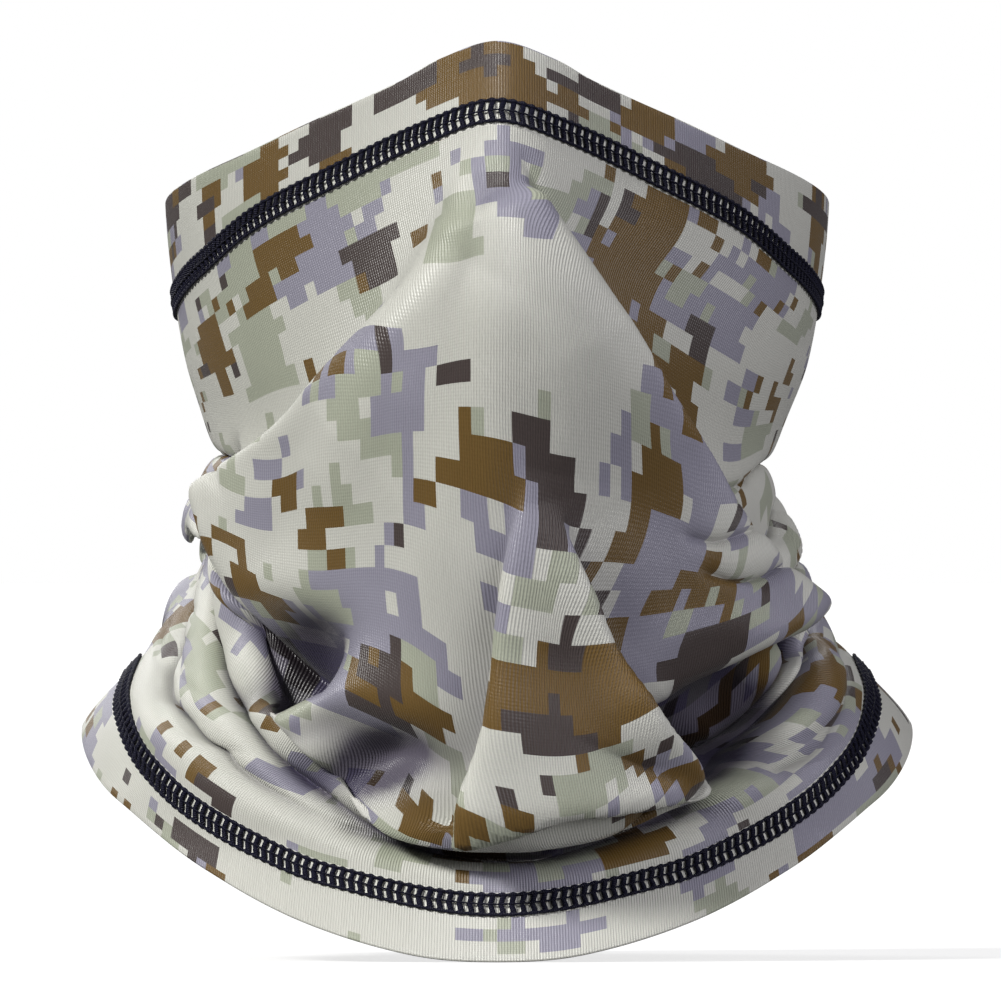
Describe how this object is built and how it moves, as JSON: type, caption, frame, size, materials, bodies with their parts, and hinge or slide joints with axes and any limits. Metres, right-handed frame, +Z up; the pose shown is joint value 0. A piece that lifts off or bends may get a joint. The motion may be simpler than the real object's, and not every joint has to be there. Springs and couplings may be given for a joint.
{
  "type": "neck gaiter",
  "caption": "Pull-on knitted neck gaiter worn over nose, jaw and neck, with folded bands at both ends joined by dark coverstitched seams.",
  "frame": {"origin": "on the tube's axis, level with the lowest point of the hem, at the middle of the neck opening", "axes": "+Z up along the tube, out of the face opening; the wearer faces -Y; +X is the wearer's left"},
  "size_m": [0.2002, 0.2022, 0.219],
  "materials": {
    "printed_knit": "satin-faced polyester and elastane knit with a block camouflage print",
    "band_knit": "the same knit, folded double",
    "navy_thread": "textured polyester sewing thread, dark navy",
    "closing_thread": "textured polyester overlock thread, light stone"
  },
  "bodies": {
    "root": {"upper_band": "band_knit", "body_panel": "printed_knit", "lower_band": "band_knit", "face_seam_cover_thread": "navy_thread", "face_seam_looper_thread": "navy_thread", "face_seam_upper_needle_thread": "navy_thread", "face_seam_middle_needle_thread": "navy_thread", "face_seam_lower_needle_thread": "navy_thread", "hem_seam_cover_thread": "navy_thread", "hem_seam_looper_thread": "navy_thread", "hem_seam_upper_needle_thread": "navy_thread", "hem_seam_middle_needle_thread": "navy_thread", "hem_seam_lower_needle_thread": "navy_thread", "body_closing_thread": "closing_thread", "upper_band_closing_thread": "closing_thread", "lower_band_closing_thread": "closing_thread"}
  },
  "joints": []
}
